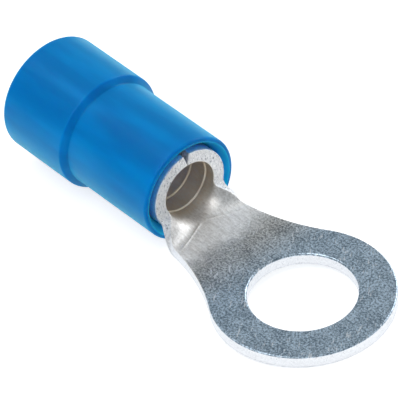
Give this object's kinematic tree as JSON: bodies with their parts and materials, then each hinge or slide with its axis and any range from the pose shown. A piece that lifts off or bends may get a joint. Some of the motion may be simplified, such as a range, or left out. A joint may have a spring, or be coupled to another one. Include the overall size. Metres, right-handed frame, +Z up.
{
  "type": "insulated ring terminal",
  "caption": "Crimp ring terminal: a flat ring tongue that curls up into a rolled wire barrel, in a stepped insulating sleeve with a flared wire entry.",
  "frame": {"origin": "centre of the stud hole, on the underside of the flat tongue", "axes": "+Z up through the stud hole, +X from the wire barrel towards the tip of the ring; the wire leaves along -X"},
  "size_m": [0.0457, 0.0178, 0.0123],
  "materials": {
    "tinned_copper": "matt tin plate with a fine mottle, bright sheared edges",
    "blue_insulation": "semi-gloss moulded plastic, slightly translucent"
  },
  "bodies": {
    "root": {"terminal": "tinned_copper", "insulating_sleeve": "blue_insulation"}
  },
  "joints": []
}
